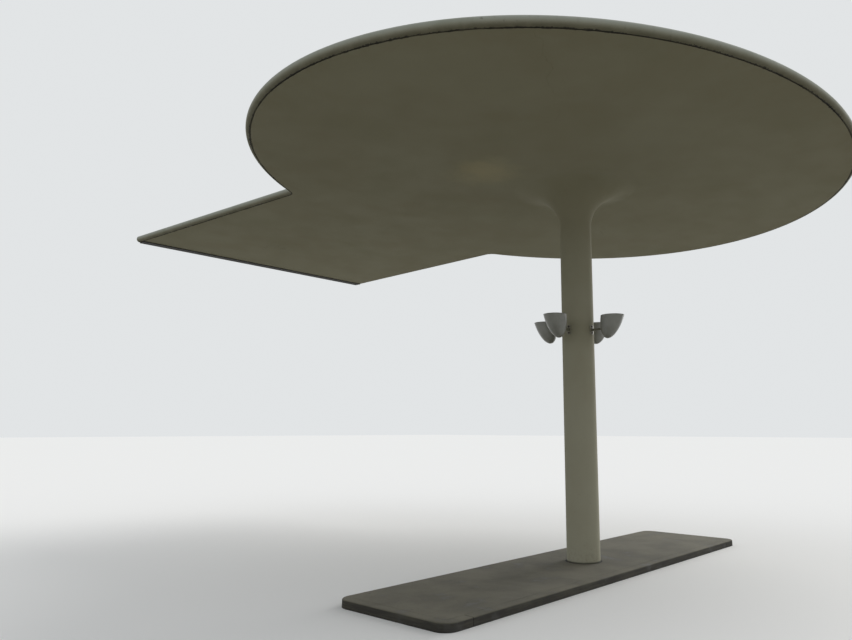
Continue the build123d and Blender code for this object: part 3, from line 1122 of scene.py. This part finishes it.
bead_path, gasket_path = rim_path(BOWL_WALL / 2, BEAD_RADIUS), rim_path(BOWL_WALL + 0.0015, 0.0035)
bowl_bead = swept_piece("bead", bead_path, True, circle_section(BEAD_RADIUS), LAMP_PAINT)
bowl_master = merged("bowl_master", [bowl_shell, bowl_bead])
gasket_master = swept_piece("gasket", gasket_path, True, circle_section(GASKET_RADIUS, 8), JOINT_FILLER)
print("shell and bead together", len(bowl_master.data.polygons), "faces")


# %% [markdown]
# ### Bulb and holder
# Both are turned about the bowl's leaning axis. The bulb's section is a dozen points, softened by
# cutting its corners twice, which is how a curve is drawn from few numbers. The holder keeps its
# corners, for porcelain rings are crisp.


# %% Bulb and holder
BULB = [(0.0, 0.062), (0.0125, 0.062), (0.0132, 0.070), (0.0170, 0.078), (0.0235, 0.090),
        (0.0285, 0.103), (0.0308, 0.116), (0.0310, 0.128), (0.0288, 0.142), (0.0240, 0.154),
        (0.0165, 0.163), (0.0085, 0.1685), (0.0, 0.170)]
HOLDER = [(0.0, 0.0038), (0.008, 0.0045), (0.014, 0.0062), (0.0165, 0.0078), (0.0168, 0.020),
          (0.0150, 0.021), (0.0150, 0.023), (0.0168, 0.024), (0.0168, 0.040), (0.0150, 0.041),
          (0.0150, 0.043), (0.0168, 0.044), (0.0168, 0.060), (0.0155, 0.062), (0.0, 0.062)]


def rounder(section, times):
    """The same turned section with softened corners between its points."""
    for _ in range(times):
        inner = []
        for (r1, z1), (r2, z2) in zip(section, section[1:]):
            inner += [(r1 * near + r2 * (1 - near), z1 * near + z2 * (1 - near)) for near in (0.75, 0.25)]
        section = [section[0]] + inner[1:-1] + [section[-1]]
    return section


bulb_master = turned("bulb_master", rounder(BULB, 2), 40, FROSTED, lamp_matrix)
holder_master = turned("holder_master", HOLDER, 40, PORCELAIN, lamp_matrix)
print("bulb", len(bulb_master.data.polygons), "and holder", len(holder_master.data.polygons), "faces")


# %% [markdown]
# ### Four lamps round the column
# The four lamps differ only by a quarter turn. The turn is put into each copy's points, not into
# its object, so that every piece keeps the shared origin and the finishes differ from lamp to lamp.


# %% Four lamps
def around_column(master, name, turn):
    """A copy of a mesh, turned about the column in its own points."""
    mesh = master.data.copy()
    mesh.transform(Matrix.Rotation(math.radians(turn), 4, "Z"))
    return new_object(name, mesh)


for side, turn in SIDES.items():
    dress(around_column(bowl_master, f"spun_bowl_{side}", turn), None, "lamp_metal", f"bowl_{side}")
    dress(around_column(gasket_master, f"gasket_{side}", turn), JOINT_FILLER, "joint_rubber")
    dress(around_column(bulb_master, f"bulb_{side}", turn), FROSTED, "lamp_bulb", f"lamp_{side}")
    dress(around_column(holder_master, f"holder_{side}", turn), PORCELAIN, "lamp_bulb")
    repaint(COVER_GLASS, f"glass_{side}")
    repaint(BRACKET_PAINT, f"arm_{side}")
    repaint(PLATE_PAINT, f"plate_{side}")
for master in (bowl_master, gasket_master, bulb_master, holder_master):
    bpy.data.objects.remove(master)
print("lamps set at", list(SIDES.values()), "degrees")


# %% [markdown]
# ### The tree that sets one shape on points
# Bolts and screws repeat. One is modelled and a small tree sets it on every point, aimed along the
# direction stored there and given a turn of its own, because no two screws stop at the same angle.


# %% Tree that sets one shape on points
def fixing_tree():
    t = ShapeTree("fix_on_points", [
        ("Shape", "NodeSocketObject", None),
        ("Own Turn", "NodeSocketFloat", 3.14),
        ("Seed", "NodeSocketInt", 1),
        ("Finish", "NodeSocketMaterial", None),
    ])
    aim = t.add("GeometryNodeInputNamedAttribute", {"Name": "aim"}, data_type="FLOAT_VECTOR")[0]
    facing = t.add("FunctionNodeAlignRotationToVector", {"Vector": aim}, axis="Z")[0]
    limits = {"Max": t.given["Own Turn"], "Seed": t.given["Seed"]}
    angle = t.add("FunctionNodeRandomValue", limits, data_type="FLOAT")[1]
    spin = t.add("ShaderNodeCombineXYZ", {2: angle})[0]
    turn = t.add("FunctionNodeRotateRotation", {0: facing, 1: spin}, rotation_space="LOCAL")[0]
    shape = t.add("GeometryNodeObjectInfo", {"Object": t.given["Shape"], "As Instance": True})["Geometry"]
    inputs = {"Points": t.given["Geometry"], "Instance": shape, "Rotation": turn}
    return t.done(t.add("GeometryNodeInstanceOnPoints", inputs)[0])


FIXING = fixing_tree()


def fixed_on(name, points, aims, shape, finish, own_turn, seed):
    """One shape set on each point, facing the point's own aim."""
    mesh = new_mesh("points", points, [])
    stored_aims = mesh.attributes.new("aim", "FLOAT_VECTOR", "POINT").data
    stored_aims.foreach_set("vector", [c for aim in aims for c in aim])
    base = new_object("points", mesh)
    return grown(name, base, FIXING, [shape], shape=shape, finish=finish, own_turn=own_turn, seed=seed)


print("fixing tree has", len(FIXING.nodes), "nodes")


# %% [markdown]
# ### Bolts of the saddle plates
# Two bolts with washers hold each plate. A six-sided head is a turned shape with six steps.


# %% Plate bolts
BRACKET_HEIGHT, BOLT_RISE, PLATE_THICK = 2.605, 0.036, 0.008
WASHER_THICK, WASHER_RIM = 0.0018, 0.0006


def hex_bolt(across, head, washer):
    """A washer with a six-sided head on it, both with their upper rims rounded off."""
    low = WASHER_THICK - WASHER_RIM
    rim = [(washer, 0.0), (washer, low), (washer - WASHER_RIM, WASHER_THICK)]
    ring = turned("washer", [(0.0, 0.0), *rim, (0.0, WASHER_THICK)], 24, ZINC)
    corner = across / math.sqrt(3)
    flank = [(corner, WASHER_THICK), (corner, head - 0.001), (corner * 0.86, head)]
    nut = turned("head", [(0.0, WASHER_THICK), *flank, (0.0, head)], 6, ZINC)
    return merged("bolt", [ring, nut])


bolt_points, bolt_aims = [], []
for turn in SIDES.values():
    out = Vector((math.cos(math.radians(turn)), math.sin(math.radians(turn)), 0.0))
    for up in (-BOLT_RISE, BOLT_RISE):
        bolt_points.append(tuple(out * (COLUMN_RADIUS + PLATE_THICK) + Vector((0, 0, BRACKET_HEIGHT + up))))
        bolt_aims.append(tuple(out))
bolt = hex_bolt(across=0.017, head=0.0085, washer=0.012)
bolts = fixed_on("plate_bolts", bolt_points, bolt_aims, bolt, ZINC, own_turn=1.0, seed=3)
dress(bolts, ZINC, "bracket_metal")
print("bolts", len(bolts.data.polygons), "faces")


# %% [markdown]
# ## The roof's top
# The top can be seen only from above, and is as plain as on any flat roof: mineral felt in rolls a
# metre wide, laid across the neck's line with their laps bonded, and held down all round by a flat
# metal strip. Each roll came from the mill a little lighter or darker. Bitumen bleeds at the laps,
# moss creeps in from the edge, and dried puddles leave rings. The rolls' number is the whole part of
# their place along Y, so one noise on that number shades each roll by itself.


# %% Finishes of the roof's top
ROLL_WIDTH = 1.0
FELT_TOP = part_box("roof_felt")[1].z


def felt_finish():
    f = Finish("mineral_felt", tone(104, 105, 101))
    across = f.calc("SUBTRACT", f.axis("Y"), ROLL_WIDTH / 2)
    roll = f.add("ShaderNodeTexWhiteNoise", {"W": f.calc("FLOOR", across)}, noise_dimensions="1D")
    f.over(roll["Value"], tone(86, 86, 82))
    granules = f.ramp(f.noise(0.0018, 2.0, 0.7), 0.36, 0.66)
    f.over(f.times(granules, 0.6), tone(58, 58, 56))
    puddle = f.noise(0.8, 2.0, 0.45)
    ring = f.times(f.ramp(puddle, 0.60, 0.63), f.ramp(puddle, 0.63, 0.70, 1.0, 0.3))
    f.over(f.times(ring, 0.20), tone(134, 130, 118))
    f.patches(tone(112, 110, 102), 0.35, 0.35, 0.7, 0.35, 5.0, 0.65, f.stretched(1.0, 2.2, 1.0))
    near_edge = f.ramp(inside_edge(f), 0.08, 0.55, 1.0, 0.0)
    moss = f.times(near_edge, f.ramp(f.noise(0.05, 6.0, 0.75), 0.48, 0.64))
    f.over(f.times(moss, 0.85), tone(74, 82, 44))
    from_lap = f.calc("PINGPONG", across, ROLL_WIDTH / 2)
    bleed = f.calc("MULTIPLY_ADD", f.ramp(f.noise(0.04, 4.0, 0.7), 0.4, 0.8), 0.03, 0.004)
    tar = f.ramp(f.calc("SUBTRACT", from_lap, bleed), -0.003, 0.002, 1.0, 0.0)
    f.over(f.times(tar, 0.8), tone(34, 34, 34))
    f.bump(granules, 0.0006)
    f.bump(f.noise(0.35, 2.0), 0.006)
    return f.done(0.92, Specular_IOR_Level=0.3)


def strip_metal():
    """Mill-finish aluminium, chalked in patches, with grime where water stands."""
    f = Finish("weathered_strip", tone(158, 160, 160))
    chalk = f.ramp(f.noise(0.09, 5.0, 0.65), 0.35, 0.68)
    f.over(chalk, tone(184, 184, 180))
    grime = f.ramp(f.noise(0.05, 5.0, 0.7), 0.52, 0.72, 0.0, 0.75)
    f.over(grime, tone(84, 82, 72))
    f.bump(f.noise(0.12, 3.0), 0.0008)
    return f.done(f.ramp(chalk, 0.0, 1.0, 0.42, 0.68), Metallic=f.ramp(grime, 0.0, 0.75, 0.75, 0.1))


def coated_iron():
    """Cast iron dipped in bitumen, with rust through the coat."""
    f = Finish("coated_iron", tone(40, 39, 38))
    worn = f.ramp(f.noise(0.02, 5.0, 0.7), 0.48, 0.66)
    f.over(worn, tone(98, 62, 40))
    f.bump(f.noise(0.0035, 3.0, 0.7), 0.0006)
    return f.done(f.ramp(worn, 0.0, 1.0, 0.5, 0.9))


FELT, STRIP_METAL, COATED_IRON = felt_finish(), strip_metal(), coated_iron()
repaint(FELT, "roof_felt")
repaint(STRIP_METAL, "edge_strip")
repaint(COATED_IRON, "roof_outlet", "outlet_grate")
print("felt, strip and outlet finished; felt's top at", round(FELT_TOP, 3), "m")


# %% [markdown]
# ### Laps of the felt
# Where one roll lies over the next there is a low step, which fades out over the upper roll. A thin
# wedge swept along each lap gives that step. Its length is what the plan leaves at that place: the
# oval's chord, the neck's width, or whichever reaches farther.


# %% Laps
LAP_INSET = 0.079


def plan_span(y):
    """How far the felt reaches to the left and right at a place along Y."""
    left, right = [], []
    share = (y - OVAL_CENTRE.y) / (OVAL_HALF[1] - LAP_INSET)
    if abs(share) < 1:
        half = (OVAL_HALF[0] - LAP_INSET) * math.sqrt(1 - share * share)
        left.append(OVAL_CENTRE.x - half)
        right.append(OVAL_CENTRE.x + half)
    if y > OVAL_CENTRE.y:
        half = NECK_HALF_ROOT + NECK_SPREAD * (y - NECK_ROOT_Y) - LAP_INSET
        left.append(NECK_X - half)
        right.append(NECK_X + half)
    return min(left), max(right)


LAP_CUT = [(0.0, -0.0004), (0.0, 0.0035), (-0.02, 0.003), (-0.12, 0.0003), (-0.12, -0.0004)]
laps = []
for number in range(-3, 6):
    y = (number + 0.5) * ROLL_WIDTH
    start, end = plan_span(y)
    line = [(p.x, p.y, FELT_TOP) for p in evenly([Vector((start, y)), Vector((end, y))], 0.06)]
    laps.append(swept_piece(f"lap_{number}", line, False, LAP_CUT, FELT, waver=0.0006, seed=40))
dress(merged("felt_laps", laps), FELT, "roof_felt")
print(len(laps), "laps, the longest", round(max(b - a for a, b in map(plan_span, (-0.5, 0.5))), 2), "m")


# %% [markdown]
# ### Screws and joint sleeves of the strip
# The strip came in lengths of two and a half metres, joined by thin sleeves bent over its outer
# edge, and a pan-head screw holds it every 300 mm. Screws repeat along a path, so the tree that set
# the bolts sets them too. Their line is the roof's outline moved in, with each point put to the
# left of the way along.


# %% Screws and sleeves
STRIP_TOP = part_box("edge_strip")[1].z
SCREW_INSET, SCREW_STEP = 0.046, 0.3
PAN_HEAD = [(0.0, 0.0), (0.0055, 0.0), (0.0052, 0.0014), (0.0036, 0.0026), (0.0, 0.003)]
STRIP_LENGTH, SLEEVE_LENGTH, FINE_STEP = 2.5, 0.08, 0.01
SLEEVE_TOP = [(-0.071, 0.0), (-0.071, 0.0012), (-0.0205, 0.0012)]
SLEEVE_CUT = SLEEVE_TOP + [(-0.0205, -0.012), (-0.0217, -0.012), (-0.0217, 0.0)]


def moved_in(points, inset):
    result = []
    for before, here, after in zip([points[0]] + points[:-1], points, points[1:] + [points[-1]]):
        way = (after - before).normalized()
        result.append(here + Vector((-way.y, way.x)) * inset)
    return result


screw_line = evenly(moved_in(roof_path, SCREW_INSET), SCREW_STEP)[1:-1]
screw_points, straight_up = [(p.x, p.y, STRIP_TOP) for p in screw_line], [(0, 0, 1)] * len(screw_line)
screw = turned("pan_head", PAN_HEAD, 10, ZINC)
screws = fixed_on("strip_screws", screw_points, straight_up, screw, ZINC, own_turn=6.28, seed=11)
dress(screws, ZINC, "edge_metal")

fine_path = evenly(roof_path, FINE_STEP)
strip_points, sleeve_points = round(STRIP_LENGTH / FINE_STEP), round(SLEEVE_LENGTH / FINE_STEP) + 1
sleeves = []
for first in range(strip_points // 2, len(fine_path) - 2 * sleeve_points, strip_points):
    line = [(p.x, p.y, STRIP_TOP) for p in fine_path[first : first + sleeve_points]]
    sleeves.append(swept_piece(f"sleeve_{first}", line, False, SLEEVE_CUT, STRIP_METAL))
dress(merged("strip_sleeves", sleeves), STRIP_METAL, "edge_metal")
print(len(screw_line), "screws and", len(sleeves), "sleeves")


# %% [markdown]
# ## Stage, light and camera
# The floor is pale to the eye but sends up warmer, dimmer light, so the soffit stays in the shade
# that it has outdoors. The sky is even and a little darker than the floor, and both are seen paler
# than they shine, which keeps the horizon soft without adding light to the canopy.


# %% Floor and background
def seen_share(nodes):
    """1 for what the eye sees straight, in a reflection or through glass, 0 for bounced light."""
    path = nodes.add("ShaderNodeLightPath", {})
    total = path["Is Camera Ray"]
    for name in ("Is Glossy Ray", "Is Transmission Ray"):
        both = {0: total, 1: path[name]}
        total = nodes.add("ShaderNodeMath", both, operation="ADD", use_clamp=True)[0]
    return total


def two_way(owner, kind, unseen, seen, end):
    """Give a material or world two shaders of a kind: one for bounced light and one for the eye."""
    owner.use_nodes = True
    nodes = Nodes(owner.node_tree)
    dim, pale = (nodes.add(kind, settings)[0] for settings in (unseen, seen))
    mixed = nodes.add("ShaderNodeMixShader", {0: seen_share(nodes), 1: dim, 2: pale})[0]
    nodes.add(end, {"Surface": mixed})
    return owner


FLOOR_REACH = 150.0
corners = [(FLOOR_REACH * x, FLOOR_REACH * y, 0) for x, y in ((-1, -1), (1, -1), (1, 1), (-1, 1))]
floor_tone = two_way(
    bpy.data.materials.new("floor"), "ShaderNodeBsdfDiffuse",
    {"Color": (0.235, 0.226, 0.188, 1)}, {"Color": (0.86, 0.855, 0.84, 1)}, "ShaderNodeOutputMaterial",
)
floor = new_object("floor", new_mesh("floor", corners, [(0, 1, 2, 3)], floor_tone))

world = two_way(
    bpy.data.worlds.new("even_sky"), "ShaderNodeBackground",
    {"Color": (0.94, 0.97, 1.0, 1), "Strength": 0.66}, {"Color": (0.76, 0.78, 0.79, 1), "Strength": 1.0},
    "ShaderNodeOutputWorld",
)
bpy.context.scene.world = world
print("floor", 2 * FLOOR_REACH, "m across, world", world.name)


# %% [markdown]
# ### Light and camera
# Two lamps are enough beside the sky. A broad, soft sun stands to the right and a little in front,
# as high as the far rims' bright lines suggest, and a low, weaker one on the same side lights what
# the roof shades: the right flank of the column and the right of each bowl. The camera's turn, rise
# and focal length were worked out from the level and upright lines in the picture, and then fitted to
# the outlines of the canopy itself, with a small lens shift, because the real lens bent straight lines.


# %% Light and camera
def sun_from(name, position, energy, spread, colour=(1, 1, 1)):
    """A sun that shines from a point towards the column's foot, softened over a spread in degrees."""
    data = bpy.data.lights.new(name, "SUN")
    data.energy, data.angle, data.color = energy, math.radians(spread), colour
    turn = (-Vector(position)).to_track_quat("-Z", "Y").to_matrix().to_4x4()
    new_object(name, data).matrix_world = Matrix.Translation(position) @ turn
    print(name, "at", energy)


sun_from("soft_sun", (9.0, -2.0, 11.0), 1.2, 50, (1.0, 0.985, 0.96))
sun_from("low_side_light", (13.0, -0.4, 2.4), 0.95, 24)


def photo_camera(position, yaw, pitch, roll, focal, shift, width):
    """Camera from its turn, rise and roll in degrees, and its lens in pixels of the picture's width."""
    data = bpy.data.cameras.new("camera")
    data.sensor_fit, data.sensor_width = "HORIZONTAL", 36.0
    data.lens = focal / width * data.sensor_width
    data.shift_x, data.shift_y = -shift[0] / width, shift[1] / width
    data.clip_end = 500.0
    camera = new_object("camera", data)
    turn = Matrix.Rotation(math.radians(yaw), 4, "Z") @ Matrix.Rotation(math.radians(90 + pitch), 4, "X")
    camera.matrix_world = Matrix.Translation(position) @ turn @ Matrix.Rotation(math.radians(roll), 4, "Z")
    return camera


bpy.context.scene.camera = photo_camera(
    position=(-6.916, -4.456, 1.480), yaw=-49.233, pitch=10.683, roll=0.056,
    focal=707.5, shift=(53.7, -23.6), width=852,
)
bpy.context.scene.view_settings.view_transform = "Standard"

# %% [markdown]
